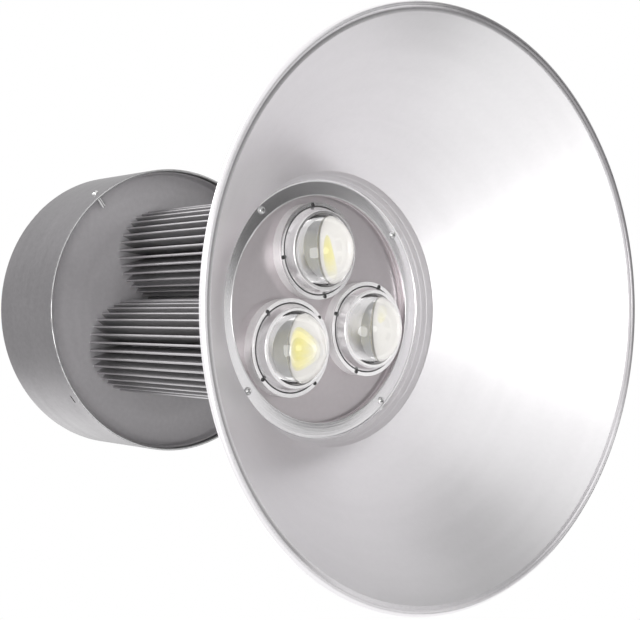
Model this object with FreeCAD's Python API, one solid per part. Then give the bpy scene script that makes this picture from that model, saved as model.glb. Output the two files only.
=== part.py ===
"""High bay light: a spun reflector, three lensed light sources on a turned base plate,
three finned heat sinks and a driver drum with an eyebolt and a cable gland.

Millimetres. The light's axis is Z, with the origin at the centre of the reflector's mouth:
the rolled rim rests on Z = 0, and the eyebolt is on top.
"""
import FreeCAD, Part
import math
import os

# ---------------------------------------------------------------- driving dimensions
# Reflector: one sheet, given by the side that faces the room
RIM_R = 210.0            # outer radius of the rolled rim
BEAD_R = 2.4             # section radius of the rolled rim
LIP_W = 2.6              # flat lip between the rolled rim and the cone
DISH_SHEET = 1.5
NECK_R = 105.2           # where the cone meets the neck step
NECK_Z = 123.1
STEP_TOP_R = 99.5        # where the neck step meets the flange
STEP_H = 14.7
FLANGE_HOLE_R = 87.7     # opening inside the flange
FLANGE_SCREW_PCR = 95.0
FLANGE_SCREW_COUNT = 4
FLANGE_SCREW_START = 50.5
NECK_CORNER_R = 2.5
STEP_CORNER_R = 1.8

# Base plate and its gasket
GASKET_T = 1.0
BASE_R = 98.5
BASE_RIM_IN_R = 88.6
BASE_RIM_H = 3.2         # the rim stands this far in front of the face
BASE_T = 7.0

# Lens assemblies, all on one pitch circle
LENS_COUNT = 3
LENS_PCR = 45.5
LENS_START = 80.0
HOLDER_R = 37.4
HOLDER_H = 8.5           # from the base face to the seat of the bezel's flange
COLLAR_R = 31.2          # inner collar that carries the cup, gasket and glass
COLLAR_IN_R = 28.0
BEZEL_SHEET = 1.0
BEZEL_FOOT_R = 33.8
BEZEL_LIP_R = 30.7
BEZEL_H = 7.6            # from the flange's front to the lip's front
BEZEL_OPEN_R = 28.2
BEZEL_LIP_CORNER_R = 0.9
BEZEL_FOOT_CORNER_R = 0.25
GLASS_R = 29.7
GLASS_EDGE_T = 7.0
GLASS_DOME_H = 19.0      # rise of the dome over the glass's edge; its back is flat
GLASS_GAP = 0.2          # between the dome and the bezel's opening
SEAL_T = 1.0
SEAL_W = 2.4
CUP_SHEET = 0.8
CUP_MOUTH_R = 27.0
CUP_FOOT_R = 26.4
BOARD_W = 36.0
BOARD_T = 3.0
PHOSPHOR_W = 24.0
PHOSPHOR_CORNER_R = 1.0
PHOSPHOR_T = 0.8
LENS_SCREW_PCR = 35.6
LENS_SCREW_COUNT = 4

# Heat sinks, on their own pitch circle
SINK_PCR = 49.5
SINK_L = 207.0
SINK_R = 40.5
SINK_CORE_R = 14.0
SINK_BORE_R = 4.5
FIN_COUNT = 36
FIN_ROOT_T = 2.2
FIN_TIP_T = 1.8
PORT_PCR = 32.0          # screw ports, extruded in with the fins, on the side of the light's axis
PORT_R = 3.3
PORT_ANGLES = (120.0, 240.0)

# Drum
DRUM_R = 125.8
DRUM_H = 95.4
DRUM_SHEET = 1.5
DRUM_EDGE_R = 5.0
DISC_RECESS = 17.5       # from the drum's mouth to the disc's face
DISC_SHEET = 1.5
DISC_RIM_H = 11.5        # the disc's rim, turned down towards the mouth
DISC_CLEARANCE = 0.3
DRUM_SCREW_ANGLES = (53.2, 233.2)
DRUM_SCREW_RISE = 14.4   # above the mouth
TAB_ANGLES = (142.7, 322.7)
TAB_RISE = 9.0
TAB_W = 7.1
TAB_T = 0.9
TAB_GAP = 0.4
TAB_REACH = 0.6

# Leads and what they join
LEAD_R = 1.8
LEAD_BEND_R = 6.0
LEAD_ELBOW_R = 3.0       # bends in the base plate's slot
SLOT_W = 4.4             # slot in the base plate for each lead
SLOT_REACH = 0.6         # past the lead's end
LEAD_END = 22.5          # from the lens axis to the lead's end
LEAD_RISE = 8.0          # centre line of the leads above the disc
BLOCK_APOTHEM = 16.0
BLOCK_H = 14.0
GROMMET_HOLE_R = 5.0
GROMMET_R = 6.8
GROMMET_LIP_T = 1.3
GROMMET_EDGE_R = 0.4

# Driver
DRIVER_L = 150.0
DRIVER_W = 62.0
DRIVER_H = 38.0
DRIVER_EDGE_R = 4.0
DRIVER_ANGLE = 20.0
EAR_L = 13.0
EAR_T = 2.0
STANDOFF_H = 20.0
STANDOFF_ACROSS = 7.0
STANDOFF_SPACING_W = 44.0
DRIVER_LEAD_OUT = 25.0   # how far the driver's lead loops out past the case

# Eyebolt
SHANK_R = 5.0
SHANK_BELOW = 13.0       # thread below the drum's top
COLLAR_BOLT_R = 12.5
COLLAR_BOLT_T = 4.0
EYE_R = 16.5             # centre line of the ring
EYE_BAR_R = 4.2
EYE_NECK_H = 1.5
WASHER_R = 12.5
WASHER_T = 2.0
NUT_ACROSS = 17.0
NUT_H = 8.0

# Cable gland
GLAND_INSET = 43.8       # from the drum's wall
GLAND_ANGLE = 110.0
GLAND_THREAD_R = 7.9
GLAND_BELOW = 10.0
GLAND_BORE_R = 5.0
GLAND_ACROSS = 22.0
GLAND_FLANGE_T = 5.0
GLAND_NECK_H = 7.6
GLAND_NECK_R = 8.4
SEAL_R = 6.7
SEAL_BORE_R = 4.0
SEAL_H = 9.0
CAP_H = 13.0
CAP_R = 10.6
CAP_MOUTH_R = 4.7
CAP_CHAMFER = 3.0
CAP_SHOULDER_R = 2.0
CAP_NOSE_R = 1.5
CAP_GRIP_SHARE = 0.55    # of the cap's height, as a hexagon
GRIP_ROOT = 0.5          # the hexagon's depth under the cap's skin
LOCKNUT_H = 5.0

# Shared fits
THREAD_GAP = 0.05        # between a thread and its hole
HOLE_GAP = 0.25          # between a screw and a clearance hole
TIP_ROOM = 0.5           # left in a blind hole past the screw's tip
LIP_CORNER_R = 1.0
PLATE_INNER_EDGE_R = 0.8
PLATE_EDGE_R = 1.0
COLLAR_EDGE_R = 0.4
HOLDER_EDGE_R = 0.6
DISC_CORNER_R = 1.5
SHANK_EDGE_R = 0.8
BOLT_FOOT_EDGE_R = 0.5
BOLT_EDGE_R = 1.5
BOLT_NECK_FILLET_R = 1.0
SEAT_GAP = 0.15          # between pieces that slip into each other

# ---------------------------------------------------------------- stations along the axis
FLANGE_Z = NECK_Z + STEP_H
GASKET_Z = FLANGE_Z + DISH_SHEET
BASE_RIM_Z = GASKET_Z + GASKET_T
FACE_Z = BASE_RIM_Z + BASE_RIM_H
BASE_TOP_Z = FACE_Z + BASE_T
BOARD_Z = FACE_Z - BOARD_T
HOLDER_Z = FACE_Z - HOLDER_H
BEZEL_FLANGE_Z = HOLDER_Z - BEZEL_SHEET
LIP_Z = BEZEL_FLANGE_Z - BEZEL_H
GLASS_Z = LIP_Z + BEZEL_SHEET
SEAL_Z = GLASS_Z + GLASS_EDGE_T
CUP_Z = SEAL_Z + SEAL_T
COLLAR_Z = CUP_Z + CUP_SHEET
DISC_Z = BASE_TOP_Z + SINK_L
DISC_TOP_Z = DISC_Z + DISC_SHEET
DRUM_Z = DISC_Z - DISC_RECESS
DRUM_TOP_Z = DRUM_Z + DRUM_H
CEILING_Z = DRUM_TOP_Z - DRUM_SHEET
DISC_RIM_Z = DISC_TOP_Z - DISC_RIM_H - DISC_SHEET
LEAD_Z = DISC_TOP_Z + LEAD_RISE
SLOT_MID_Z = (FACE_Z + BASE_TOP_Z) / 2
DRIVER_Z = DISC_TOP_Z + STANDOFF_H
DRUM_BORE_R = DRUM_R - DRUM_SHEET
DISC_R = DRUM_BORE_R - DISC_CLEARANCE
GLAND_PCR = DRUM_R - GLAND_INSET

# ---------------------------------------------------------------- fasteners
M4 = {"shank": 2.0, "head": 3.1, "head_h": 2.2}
M25 = {"shank": 1.2, "head": 1.6, "head_h": 1.2}
M25_LED = {"shank": 1.2, "head": 2.2, "head_h": 1.5}
COUNTERSINK_R = 3.9
COUNTERSINK_H = 2.1
FLANGE_SCREW_L = 8.0
LENS_SCREW_L = 14.0
LED_SCREW_L = 5.5
SINK_BASE_SCREW_L = 16.0
SINK_DISC_SCREW_L = 12.0
DRUM_SCREW_L = 14.0
DRIVER_SCREW_L = 8.0

UP = FreeCAD.Vector(0, 0, 1)
ORIGIN = FreeCAD.Vector(0, 0, 0)


# ---------------------------------------------------------------- drawing helpers
def unit(v):
    return v * (1.0 / v.Length)


def rounded_edges(points, closed=True):
    """Lines through (x, z, corner radius) points in the XZ plane, with tangent arcs."""
    corners = [FreeCAD.Vector(p[0], 0, p[1]) for p in points]
    radii = [p[2] if len(p) > 2 else 0 for p in points]
    count = len(points)
    stops = []
    for i in range(count):
        open_end = not closed and i in (0, count - 1)
        if radii[i] == 0 or open_end:
            stops.append((corners[i], None, corners[i]))
            continue
        back = unit(corners[i - 1] - corners[i])
        ahead = unit(corners[(i + 1) % count] - corners[i])
        half = back.getAngle(ahead) / 2
        reach = radii[i] / math.tan(half)
        centre = corners[i] + unit(back + ahead) * (radii[i] / math.sin(half))
        middle = centre + unit(corners[i] - centre) * radii[i]
        stops.append((corners[i] + back * reach, middle, corners[i] + ahead * reach))
    edges = []
    for i in range(count):
        start, middle, end = stops[i]
        if middle is not None:
            edges.append(Part.Arc(start, middle, end).toShape())
        if i < count - 1 or closed:
            edges.append(Part.makeLine(end, stops[(i + 1) % count][0]))
    return edges


def turned(points):
    """A piece turned about Z from a closed section of (radius, z, corner radius) points."""
    face = Part.Face(Part.Wire(rounded_edges(points)))
    return face.revolve(ORIGIN, UP, 360)


def sheet_section(path, thickness):
    """Closed section of a sheet that lies to the right of its drawn side."""
    points = [FreeCAD.Vector(p[0], 0, p[1]) for p in path]
    radii = [p[2] if len(p) > 2 else 0 for p in path]
    rights = []
    turns = []
    for a, b in zip(points, points[1:]):
        along = unit(b - a)
        rights.append(FreeCAD.Vector(along.z, 0, -along.x))
    other = [points[0] + rights[0] * thickness]
    other_radii = [0]
    for i in range(1, len(points) - 1):
        before, after = rights[i - 1], rights[i]
        mitre = (before + after) * (thickness / (1 + before.dot(after)))
        other.append(points[i] + mitre)
        turns_right = (points[i + 1] - points[i]).dot(before) > 0
        change = -thickness if turns_right else thickness
        other_radii.append(max(radii[i] + change, 0) if radii[i] else 0)
    other.append(points[-1] + rights[-1] * thickness)
    other_radii.append(0)
    near = [(p.x, p.z, r) for p, r in zip(points, radii)]
    far = [(p.x, p.z, r) for p, r in zip(other, other_radii)]
    return near + far[::-1]


def cylinder(radius, height, x=0, y=0, z=0):
    return Part.makeCylinder(radius, height, FreeCAD.Vector(x, y, z))


def ring(outer, inner, z, height):
    return turned([(inner, z), (outer, z), (outer, z + height), (inner, z + height)])


def prism(sides, across, height, z, turn=0.0):
    """A regular prism about Z, by its size across flats, one flat facing the angle turn."""
    corner_r = across / 2 / math.cos(math.pi / sides)
    corners = []
    for i in range(sides + 1):
        a = math.radians(turn) + (i + 0.5) * 2 * math.pi / sides
        corners.append(FreeCAD.Vector(corner_r * math.cos(a), corner_r * math.sin(a), z))
    return Part.Face(Part.makePolygon(corners)).extrude(UP * height)


def polar(radius, angle):
    a = math.radians(angle)
    return radius * math.cos(a), radius * math.sin(a)


def at(shape, radius, angle, spin=None):
    """A copy moved out to a pitch circle and turned to face outwards there."""
    x, y = polar(radius, angle)
    moved = shape.copy()
    turn = FreeCAD.Rotation(UP, angle if spin is None else spin)
    moved.Placement = FreeCAD.Placement(FreeCAD.Vector(x, y, 0), turn).multiply(moved.Placement)
    return moved


def angles(count, start=0.0):
    return [start + i * 360.0 / count for i in range(count)]


def tube_along(points, radii, section_r):
    """A round lead along straight runs with tangent arcs, given by its corner points."""
    stops = [points[0]]
    edges = []
    for i in range(1, len(points) - 1):
        back = unit(points[i - 1] - points[i])
        ahead = unit(points[i + 1] - points[i])
        half = back.getAngle(ahead) / 2
        radius = radii[i - 1]
        reach = radius / math.tan(half)
        centre = points[i] + unit(back + ahead) * (radius / math.sin(half))
        middle = centre + unit(points[i] - centre) * radius
        start, end = points[i] + back * reach, points[i] + ahead * reach
        edges.append(Part.makeLine(stops[-1], start))
        edges.append(Part.Arc(start, middle, end).toShape())
        stops.append(end)
    edges.append(Part.makeLine(stops[-1], points[-1]))
    path = Part.Wire(edges)
    first = unit(points[1] - points[0])
    profile = Part.Wire(Part.makeCircle(section_r, points[0], first))
    return path.makePipeShell([profile], True, False)


# ---------------------------------------------------------------- fasteners
def dome_screw(size, length):
    """Dome-head screw, head below Z = 0 and shank up along Z."""
    head, depth = size["head"], size["head_h"]
    bulge = (head * head + depth * depth) / (2 * depth)
    mid = FreeCAD.Vector(head * 0.72, 0, 0)
    mid.z = -(math.sqrt(bulge * bulge - mid.x * mid.x) - (bulge - depth))
    top = FreeCAD.Vector(0, 0, -depth)
    edge = FreeCAD.Vector(head, 0, 0)
    edges = [
        Part.Arc(top, mid, edge).toShape(),
        Part.makeLine(edge, FreeCAD.Vector(size["shank"], 0, 0)),
        Part.makeLine(FreeCAD.Vector(size["shank"], 0, 0), FreeCAD.Vector(size["shank"], 0, length)),
        Part.makeLine(FreeCAD.Vector(size["shank"], 0, length), FreeCAD.Vector(0, 0, length)),
        Part.makeLine(FreeCAD.Vector(0, 0, length), top),
    ]
    return Part.Face(Part.Wire(edges)).revolve(ORIGIN, UP, 360)


def countersunk_screw(shank, length):
    """Countersunk screw, flush with Z = 0, pointing up along Z."""
    return turned([
        (0, 0), (COUNTERSINK_R, 0), (shank, COUNTERSINK_H), (shank, length), (0, length),
    ])


def lifted(shape, z):
    moved = shape.copy()
    moved.translate(UP * z)
    return moved


def flipped(shape):
    """The same piece pointing down."""
    moved = shape.copy()
    moved.rotate(ORIGIN, FreeCAD.Vector(1, 0, 0), 180)
    return moved


# ---------------------------------------------------------------- reflector and base
def flange_screw_angles():
    return angles(FLANGE_SCREW_COUNT, FLANGE_SCREW_START)


def reflector():
    lip_z = BEAD_R - DISH_SHEET / 2
    section = sheet_section([
        (RIM_R - BEAD_R, lip_z),
        (RIM_R - 2 * BEAD_R - LIP_W, lip_z, LIP_CORNER_R),
        (NECK_R, NECK_Z, NECK_CORNER_R),
        (STEP_TOP_R, FLANGE_Z, STEP_CORNER_R),
        (FLANGE_HOLE_R, FLANGE_Z),
    ], DISH_SHEET)
    dish = turned(section)
    bead = Part.makeTorus(RIM_R - BEAD_R, BEAD_R, FreeCAD.Vector(0, 0, BEAD_R), UP)
    dish = dish.fuse(bead)
    hole = cylinder(M4["shank"] + HOLE_GAP, 4 * DISH_SHEET, z=FLANGE_Z - DISH_SHEET)
    for angle in flange_screw_angles():
        dish = dish.cut(at(hole, FLANGE_SCREW_PCR, angle))
    return dish.removeSplitter()


def reflector_gasket():
    pad = ring(BASE_R, BASE_RIM_IN_R, GASKET_Z, GASKET_T)
    hole = cylinder(M4["shank"] + HOLE_GAP, 3 * GASKET_T, z=GASKET_Z - GASKET_T)
    for angle in flange_screw_angles():
        pad = pad.cut(at(hole, FLANGE_SCREW_PCR, angle))
    return pad


def reflector_screws():
    screw = lifted(dome_screw(M4, FLANGE_SCREW_L), FLANGE_Z)
    return Part.Compound([at(screw, FLANGE_SCREW_PCR, a) for a in flange_screw_angles()])


def base_plate():
    plate = turned([
        (0, FACE_Z), (BASE_RIM_IN_R, FACE_Z, PLATE_INNER_EDGE_R), (BASE_RIM_IN_R, BASE_RIM_Z),
        (BASE_R, BASE_RIM_Z), (BASE_R, BASE_TOP_Z, PLATE_EDGE_R), (0, BASE_TOP_Z),
    ])
    cuts = []
    tapped = cylinder(M4["shank"] + THREAD_GAP, FLANGE_SCREW_L, z=FLANGE_Z + THREAD_GAP)
    cuts += [at(tapped, FLANGE_SCREW_PCR, a) for a in flange_screw_angles()]
    for angle in angles(LENS_COUNT, LENS_START):
        through = cylinder(SINK_BORE_R, 2 * BASE_T, z=FACE_Z - BASE_T / 2)
        cuts.append(at(through, SINK_PCR, angle))
        start = SINK_PCR - LENS_PCR
        slot = Part.makeBox(LEAD_END + LEAD_R + SLOT_REACH - start, SLOT_W, 2 * BASE_T,
                            FreeCAD.Vector(start, -SLOT_W / 2, FACE_Z - BASE_T / 2))
        cuts.append(at(slot, LENS_PCR, angle))
        cuts += [on_port(countersunk_hole(), angle, side) for side in PORT_ANGLES]
        led_hole = cylinder(M25_LED["shank"] + THREAD_GAP, LED_SCREW_L, z=BOARD_Z)
        cuts += [on_board(led_hole, angle, side) for side in (1, -1)]
        for x, y in lens_screw_places():
            lens_hole = cylinder(M25["shank"] + THREAD_GAP, LENS_SCREW_L, x, y, BEZEL_FLANGE_Z)
            cuts.append(at(lens_hole, LENS_PCR, angle))
    return plate.cut(cuts)


def countersunk_hole():
    wide = COUNTERSINK_R + HOLE_GAP
    narrow = M4["shank"] + HOLE_GAP
    return turned([
        (0, FACE_Z - BASE_T), (wide, FACE_Z - BASE_T), (wide, FACE_Z),
        (narrow, FACE_Z + COUNTERSINK_H), (narrow, FACE_Z + 2 * BASE_T), (0, FACE_Z + 2 * BASE_T),
    ])


def on_port(shape, angle, side):
    """Moves a piece from the axis to one of the screw ports of a heat sink."""
    x, y = polar(PORT_PCR, side)
    moved = shape.copy()
    moved.translate(FreeCAD.Vector(x, y, 0))
    return at(moved, SINK_PCR, angle)


def board_screw_offset():
    return BOARD_W / 2 - M25_LED["head"] - HOLE_GAP


def on_board(shape, angle, side):
    """Moves a piece from the axis to one of a light source's two screw corners."""
    offset = side * board_screw_offset()
    moved = shape.copy()
    moved.translate(FreeCAD.Vector(offset, offset, 0))
    return at(moved, LENS_PCR, angle)


# ---------------------------------------------------------------- lens assemblies
def lens_screw_places():
    return [polar(LENS_SCREW_PCR, a) for a in angles(LENS_SCREW_COUNT)]


def lens_holder():
    body = turned([
        (COLLAR_IN_R, COLLAR_Z, COLLAR_EDGE_R), (COLLAR_R, COLLAR_Z, COLLAR_EDGE_R), (COLLAR_R, HOLDER_Z),
        (HOLDER_R, HOLDER_Z, HOLDER_EDGE_R), (HOLDER_R, FACE_Z), (COLLAR_IN_R, FACE_Z),
    ])
    for x, y in lens_screw_places():
        body = body.cut(cylinder(M25["shank"] + HOLE_GAP / 2, 2 * HOLDER_H, x, y, BEZEL_FLANGE_Z))
    return body


def lens_bezel():
    section = sheet_section([
        (BEZEL_OPEN_R, LIP_Z), (BEZEL_LIP_R, LIP_Z, BEZEL_LIP_CORNER_R),
        (BEZEL_FOOT_R, BEZEL_FLANGE_Z, BEZEL_FOOT_CORNER_R), (HOLDER_R, BEZEL_FLANGE_Z),
    ][::-1], BEZEL_SHEET)
    body = turned(section)
    for x, y in lens_screw_places():
        hole = cylinder(M25["shank"] + HOLE_GAP / 2, 3 * BEZEL_SHEET, x, y, BEZEL_FLANGE_Z - BEZEL_SHEET)
        body = body.cut(hole)
    return body


def lens_glass():
    """Plano-convex glass: a high dome through the bezel, a clamped edge and a flat back."""
    dome_r = BEZEL_OPEN_R - GLASS_GAP
    ball_r = (dome_r * dome_r + GLASS_DOME_H * GLASS_DOME_H) / (2 * GLASS_DOME_H)
    half_r = dome_r / 2
    top = FreeCAD.Vector(0, 0, GLASS_Z - GLASS_DOME_H)
    half_z = top.z + ball_r - math.sqrt(ball_r * ball_r - half_r * half_r)
    corners = [
        FreeCAD.Vector(dome_r, 0, GLASS_Z), FreeCAD.Vector(GLASS_R, 0, GLASS_Z),
        FreeCAD.Vector(GLASS_R, 0, SEAL_Z), FreeCAD.Vector(0, 0, SEAL_Z), top,
    ]
    edges = [Part.Arc(top, FreeCAD.Vector(half_r, 0, half_z), corners[0]).toShape()]
    edges += [Part.makeLine(a, b) for a, b in zip(corners, corners[1:])]
    return Part.Face(Part.Wire(edges)).revolve(ORIGIN, UP, 360)


def lens_gasket():
    return ring(GLASS_R, GLASS_R - SEAL_W, SEAL_Z, SEAL_T)


def lens_cup():
    """Silver sleeve round the light source: a flange under the seal, a wall down to the plate."""
    return turned([
        (GLASS_R, CUP_Z), (CUP_MOUTH_R, CUP_Z), (CUP_FOOT_R, FACE_Z),
        (CUP_FOOT_R + CUP_SHEET, FACE_Z), (CUP_MOUTH_R + CUP_SHEET, COLLAR_Z), (GLASS_R, COLLAR_Z),
    ])


def led_board():
    half = BOARD_W / 2
    board = Part.makeBox(BOARD_W, BOARD_W, BOARD_T, FreeCAD.Vector(-half, -half, BOARD_Z))
    for side in (1, -1):
        offset = side * board_screw_offset()
        hole = cylinder(M25_LED["shank"] + HOLE_GAP, 3 * BOARD_T, offset, offset, BOARD_Z - BOARD_T)
        board = board.cut(hole)
    return board


def led_phosphor():
    half = PHOSPHOR_W / 2
    block = Part.makeBox(PHOSPHOR_W, PHOSPHOR_W, PHOSPHOR_T,
                         FreeCAD.Vector(-half, -half, BOARD_Z - PHOSPHOR_T))
    upright = [e for e in block.Edges if abs(e.Length - PHOSPHOR_T) < 0.01]
    return block.makeFillet(PHOSPHOR_CORNER_R, upright)


def led_screws():
    screw = lifted(dome_screw(M25_LED, LED_SCREW_L - TIP_ROOM), BOARD_Z)
    turns = angles(LENS_COUNT, LENS_START)
    return Part.Compound([on_board(screw, a, side) for a in turns for side in (1, -1)])


def lens_screws():
    screw = lifted(dome_screw(M25, LENS_SCREW_L - TIP_ROOM), BEZEL_FLANGE_Z)
    four = []
    for x, y in lens_screw_places():
        one = screw.copy()
        one.translate(FreeCAD.Vector(x, y, 0))
        four.append(one)
    return Part.Compound([at(s, LENS_PCR, a) for a in angles(LENS_COUNT, LENS_START) for s in four])


# ---------------------------------------------------------------- heat sinks
def heat_sink():
    """Extruded section: a bored core, straight tapering fins and two screw ports."""
    pitch = 2 * math.pi / FIN_COUNT
    edges = []

    def point(radius, offset, a):
        """A point at a radius, offset sideways from the fin's centre line."""
        along = math.sqrt(radius * radius - offset * offset)
        return FreeCAD.Vector(along * math.cos(a) - offset * math.sin(a),
                              along * math.sin(a) + offset * math.cos(a), BASE_TOP_Z)

    for i in range(FIN_COUNT):
        a = (i + 0.5) * pitch
        root_in = point(SINK_CORE_R, -FIN_ROOT_T / 2, a)
        tip_in = point(SINK_R, -FIN_TIP_T / 2, a)
        tip_out = point(SINK_R, FIN_TIP_T / 2, a)
        root_out = point(SINK_CORE_R, FIN_ROOT_T / 2, a)
        next_root = point(SINK_CORE_R, -FIN_ROOT_T / 2, a + pitch)
        crown = point(SINK_R + FIN_TIP_T / 4, 0, a)
        edges += [Part.makeLine(root_in, tip_in), Part.Arc(tip_in, crown, tip_out).toShape(),
                  Part.makeLine(tip_out, root_out), Part.makeLine(root_out, next_root)]
    sink = Part.Face(Part.Wire(edges)).extrude(UP * SINK_L)
    places = [polar(PORT_PCR, side) for side in PORT_ANGLES]
    sink = sink.fuse([cylinder(PORT_R, SINK_L, x, y, BASE_TOP_Z) for x, y in places])
    bores = [cylinder(M4["shank"] + THREAD_GAP, 3 * SINK_L, x, y, 0) for x, y in places]
    bores.append(cylinder(SINK_BORE_R, 3 * SINK_L))
    return sink.cut(bores).removeSplitter()


def sink_base_screws():
    screw = lifted(countersunk_screw(M4["shank"], SINK_BASE_SCREW_L), FACE_Z)
    turns = angles(LENS_COUNT, LENS_START)
    return Part.Compound([on_port(screw, a, side) for a in turns for side in PORT_ANGLES])


def sink_disc_screws():
    screw = lifted(flipped(dome_screw(M4, SINK_DISC_SCREW_L)), DISC_TOP_Z)
    turns = angles(LENS_COUNT, LENS_START)
    return Part.Compound([on_port(screw, a, side) for a in turns for side in PORT_ANGLES])


# ---------------------------------------------------------------- drum
def sideways(shape, angle, z):
    """Turns a piece built up along Z so that it points out of the drum's wall."""
    moved = shape.copy()
    moved.rotate(ORIGIN, FreeCAD.Vector(0, 1, 0), 90)
    moved.translate(UP * z)
    moved.rotate(ORIGIN, UP, angle)
    return moved


def drum_disc():
    section = sheet_section([
        (DISC_R - DISC_SHEET, DISC_RIM_Z), (DISC_R - DISC_SHEET, DISC_Z, DISC_CORNER_R), (0, DISC_Z),
    ], DISC_SHEET)
    disc = turned(section)
    tab = Part.makeBox(DISC_SHEET / 2 + TAB_REACH, TAB_W, TAB_T,
                       FreeCAD.Vector(DISC_R - DISC_SHEET / 2, -TAB_W / 2, DRUM_Z + TAB_RISE - TAB_T / 2))
    for angle in TAB_ANGLES:
        disc = disc.fuse(at(tab, 0, angle))
    cuts = []
    for angle in DRUM_SCREW_ANGLES:
        pilot = cylinder(M4["shank"] + THREAD_GAP, 4 * DISC_SHEET, z=DISC_R - 2 * DISC_SHEET)
        cuts.append(sideways(pilot, angle, DRUM_Z + DRUM_SCREW_RISE))
    screw_hole = cylinder(M4["shank"] + HOLE_GAP, 4 * DISC_SHEET, z=DISC_Z - DISC_SHEET)
    lead_hole = cylinder(GROMMET_HOLE_R, 4 * DISC_SHEET, z=DISC_Z - DISC_SHEET)
    for angle in angles(LENS_COUNT, LENS_START):
        cuts += [on_port(screw_hole, angle, side) for side in PORT_ANGLES]
        cuts.append(at(lead_hole, SINK_PCR, angle))
    return disc.cut(cuts)


def drum_shell():
    section = sheet_section([
        (0, DRUM_TOP_Z), (DRUM_R, DRUM_TOP_Z, DRUM_EDGE_R), (DRUM_R, DRUM_Z),
    ], DRUM_SHEET)
    shell = turned(section)
    cuts = [
        cylinder(SHANK_R + HOLE_GAP, 4 * DRUM_SHEET, z=CEILING_Z - DRUM_SHEET),
        at(cylinder(GLAND_THREAD_R + HOLE_GAP, 4 * DRUM_SHEET, z=CEILING_Z - DRUM_SHEET),
           GLAND_PCR, GLAND_ANGLE),
    ]
    for angle in DRUM_SCREW_ANGLES:
        hole = cylinder(M4["shank"] + HOLE_GAP, 4 * DRUM_SHEET, z=DRUM_R - 2 * DRUM_SHEET)
        cuts.append(sideways(hole, angle, DRUM_Z + DRUM_SCREW_RISE))
    slot = Part.makeBox(4 * DRUM_SHEET, TAB_W + 2 * TAB_GAP, TAB_T + 2 * TAB_GAP,
                        FreeCAD.Vector(DRUM_R - 2 * DRUM_SHEET, -TAB_W / 2 - TAB_GAP,
                                       DRUM_Z + TAB_RISE - TAB_T / 2 - TAB_GAP))
    cuts += [at(slot, 0, angle) for angle in TAB_ANGLES]
    return shell.cut(cuts)


def drum_screws():
    screw = flipped(dome_screw(M4, DRUM_SCREW_L))
    screw.translate(UP * DRUM_R)
    return Part.Compound([sideways(screw, a, DRUM_Z + DRUM_SCREW_RISE) for a in DRUM_SCREW_ANGLES])


# ---------------------------------------------------------------- leads and driver
def lead_grommets():
    inner = LEAD_R + SEAT_GAP
    waist = GROMMET_HOLE_R - SEAT_GAP
    grommet = turned([
        (inner, DISC_Z), (waist, DISC_Z), (waist, DISC_TOP_Z + THREAD_GAP),
        (GROMMET_R, DISC_TOP_Z + THREAD_GAP), (GROMMET_R, DISC_TOP_Z + GROMMET_LIP_T, GROMMET_EDGE_R),
        (inner, DISC_TOP_Z + GROMMET_LIP_T),
    ])
    return Part.Compound([at(grommet, SINK_PCR, a) for a in angles(LENS_COUNT, LENS_START)])


def led_lead():
    """From beside the light source, along the slot, up the bore and in to the splice block."""
    out = LENS_PCR + LEAD_END
    points = [
        FreeCAD.Vector(out, 0, BOARD_Z), FreeCAD.Vector(out, 0, SLOT_MID_Z),
        FreeCAD.Vector(SINK_PCR, 0, SLOT_MID_Z), FreeCAD.Vector(SINK_PCR, 0, LEAD_Z),
        FreeCAD.Vector(BLOCK_APOTHEM, 0, LEAD_Z),
    ]
    return tube_along(points, [LEAD_ELBOW_R, LEAD_ELBOW_R, LEAD_BEND_R], LEAD_R)


def splice_block():
    return prism(6, 2 * BLOCK_APOTHEM, BLOCK_H, DISC_TOP_Z, turn=LENS_START)


def driver_lead():
    """Out of the splice block, past the case's end and back into it."""
    out = DRIVER_L / 2 + DRIVER_LEAD_OUT
    plug_z = DRIVER_Z + DRIVER_H / 2
    points = [
        FreeCAD.Vector(BLOCK_APOTHEM, 0, LEAD_Z), FreeCAD.Vector(out, 0, LEAD_Z),
        FreeCAD.Vector(out, 0, plug_z), FreeCAD.Vector(DRIVER_L / 2, 0, plug_z),
    ]
    bend = 0.45 * min(DRIVER_LEAD_OUT, plug_z - LEAD_Z)
    lead = tube_along(points, [bend, bend], LEAD_R)
    return at(lead, 0, DRIVER_ANGLE)


def standoff_places():
    along = DRIVER_L / 2 + EAR_L / 2
    across = STANDOFF_SPACING_W / 2
    return [(sx * along, sy * across) for sx in (1, -1) for sy in (1, -1)]


def driver_case():
    case = Part.makeBox(DRIVER_L, DRIVER_W, DRIVER_H, FreeCAD.Vector(-DRIVER_L / 2, -DRIVER_W / 2, DRIVER_Z))
    long_edges = [e for e in case.Edges if abs(e.Length - DRIVER_L) < 0.01]
    case = case.makeFillet(DRIVER_EDGE_R, long_edges)
    ear_w = STANDOFF_SPACING_W + 2 * STANDOFF_ACROSS
    length = DRIVER_L + 2 * EAR_L
    foot = Part.makeBox(length, ear_w, EAR_T, FreeCAD.Vector(-length / 2, -ear_w / 2, DRIVER_Z))
    case = case.fuse(foot)
    for x, y in standoff_places():
        case = case.cut(cylinder(M4["shank"] + HOLE_GAP, 3 * EAR_T, x, y, DRIVER_Z - EAR_T))
    return at(case, 0, DRIVER_ANGLE)


def driver_standoffs():
    post = prism(6, STANDOFF_ACROSS, STANDOFF_H, DISC_TOP_Z)
    depth = DRIVER_SCREW_L - EAR_T + TIP_ROOM
    post = post.cut(cylinder(M4["shank"] + THREAD_GAP, depth, z=DRIVER_Z - depth))
    posts = []
    for x, y in standoff_places():
        one = post.copy()
        one.translate(FreeCAD.Vector(x, y, 0))
        posts.append(at(one, 0, DRIVER_ANGLE))
    return Part.Compound(posts)


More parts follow.
